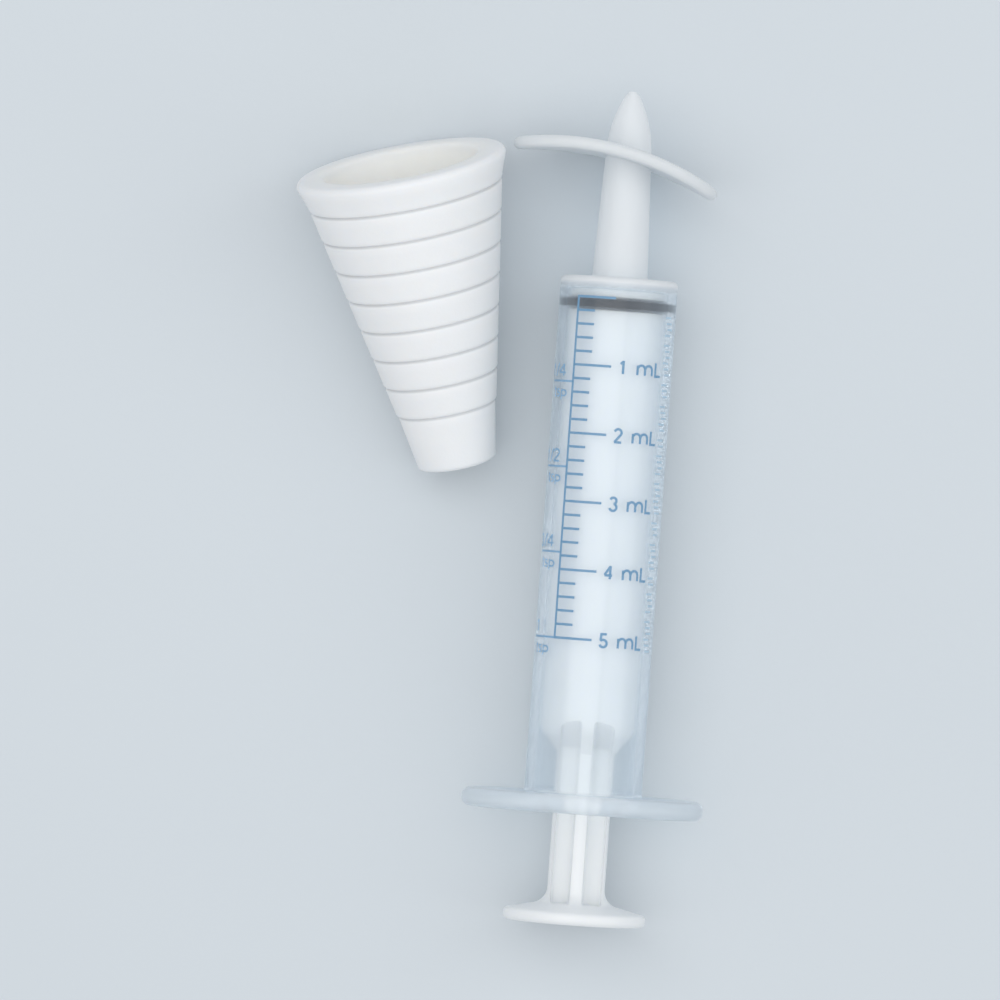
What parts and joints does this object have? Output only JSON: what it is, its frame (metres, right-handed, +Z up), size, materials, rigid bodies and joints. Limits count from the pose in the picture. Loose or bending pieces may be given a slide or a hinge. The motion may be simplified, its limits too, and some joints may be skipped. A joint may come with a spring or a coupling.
{
  "type": "oral syringe",
  "caption": "Oral medicine syringe with a frosted barrel, sliding white plunger, rubber seal and bowed lip guard, and its stepped conical bottle adapter beside it.",
  "frame": {"origin": "centre of the flat lower edge of the finger flange, on which the syringe rests", "axes": "+Y along the syringe from the thumb disc to the nozzle, +Z up, +X to the right with the adapter on the left"},
  "size_m": [0.055, 0.1021, 0.0254],
  "materials": {
    "frosted_barrel": "translucent frosted polypropylene, satin, with a light blue printed scale",
    "guard_plastic": "milky white moulded plastic, satin",
    "white_plunger": "white moulded plastic, satin",
    "seal_rubber": "black rubber, smooth",
    "soft_adapter": "soft white plastic, matt"
  },
  "bodies": {
    "barrel": {"barrel": "frosted_barrel"},
    "seal": {"seal_ring": "seal_rubber"},
    "plunger": {"plunger_rod": "white_plunger"},
    "guard": {"lip_guard": "guard_plastic"},
    "adapter": {"bottle_adapter": "soft_adapter"}
  },
  "joints": [
    {"name": "plunger_slide", "type": "slide", "parent": "barrel", "child": "seal", "axis": [0, -1, 0], "range_m": [0, 0.058]},
    {"name": "plunger_turn", "type": "hinge", "parent": "seal", "child": "plunger", "pos_m": [0, 0.061, 0.00875], "axis": [0, 1, 0], "continuous": true},
    {"name": "lip_guard_pull", "type": "slide", "parent": "barrel", "child": "guard", "axis": [0, 1, 0], "range_m": [0, 0.03]},
    {"name": "adapter_slide", "type": "slide", "parent": "barrel", "child": "adapter", "axis": [-1, 0, 0], "range_m": [0, 0.04]}
  ]
}
